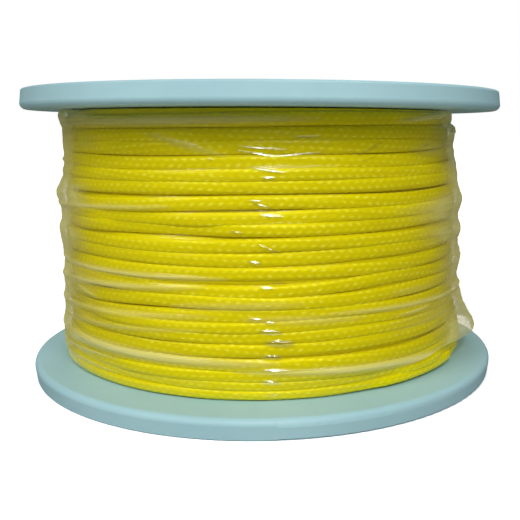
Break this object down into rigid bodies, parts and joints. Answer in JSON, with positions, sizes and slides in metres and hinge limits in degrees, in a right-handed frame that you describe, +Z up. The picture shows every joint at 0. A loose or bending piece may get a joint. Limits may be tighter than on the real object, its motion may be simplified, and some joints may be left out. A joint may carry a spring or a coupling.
{
  "type": "fishing line spool",
  "caption": "Round plastic spool, full of level-wound braided line under a clear stretch film, with a hub bore for a spindle.",
  "frame": {"origin": "centre of the lower flange's outer face, which the spool stands on", "axes": "+Z up along the hub bore, from the lower flange to the upper one; -Y is the side that the picture shows"},
  "size_m": [0.102, 0.102, 0.06],
  "materials": {
    "spool_plastic": "pale blue moulded plastic, semi-gloss",
    "line_yellow": "bright yellow braid with a waxy sheen",
    "clear_film": "clear wrinkled stretch film"
  },
  "bodies": {
    "root": {"lower_flange": "spool_plastic", "upper_flange": "spool_plastic", "barrel": "spool_plastic", "line_start": "line_yellow", "line_core": "line_yellow", "outer_turns": "line_yellow", "film_wrap": "clear_film"}
  },
  "joints": []
}
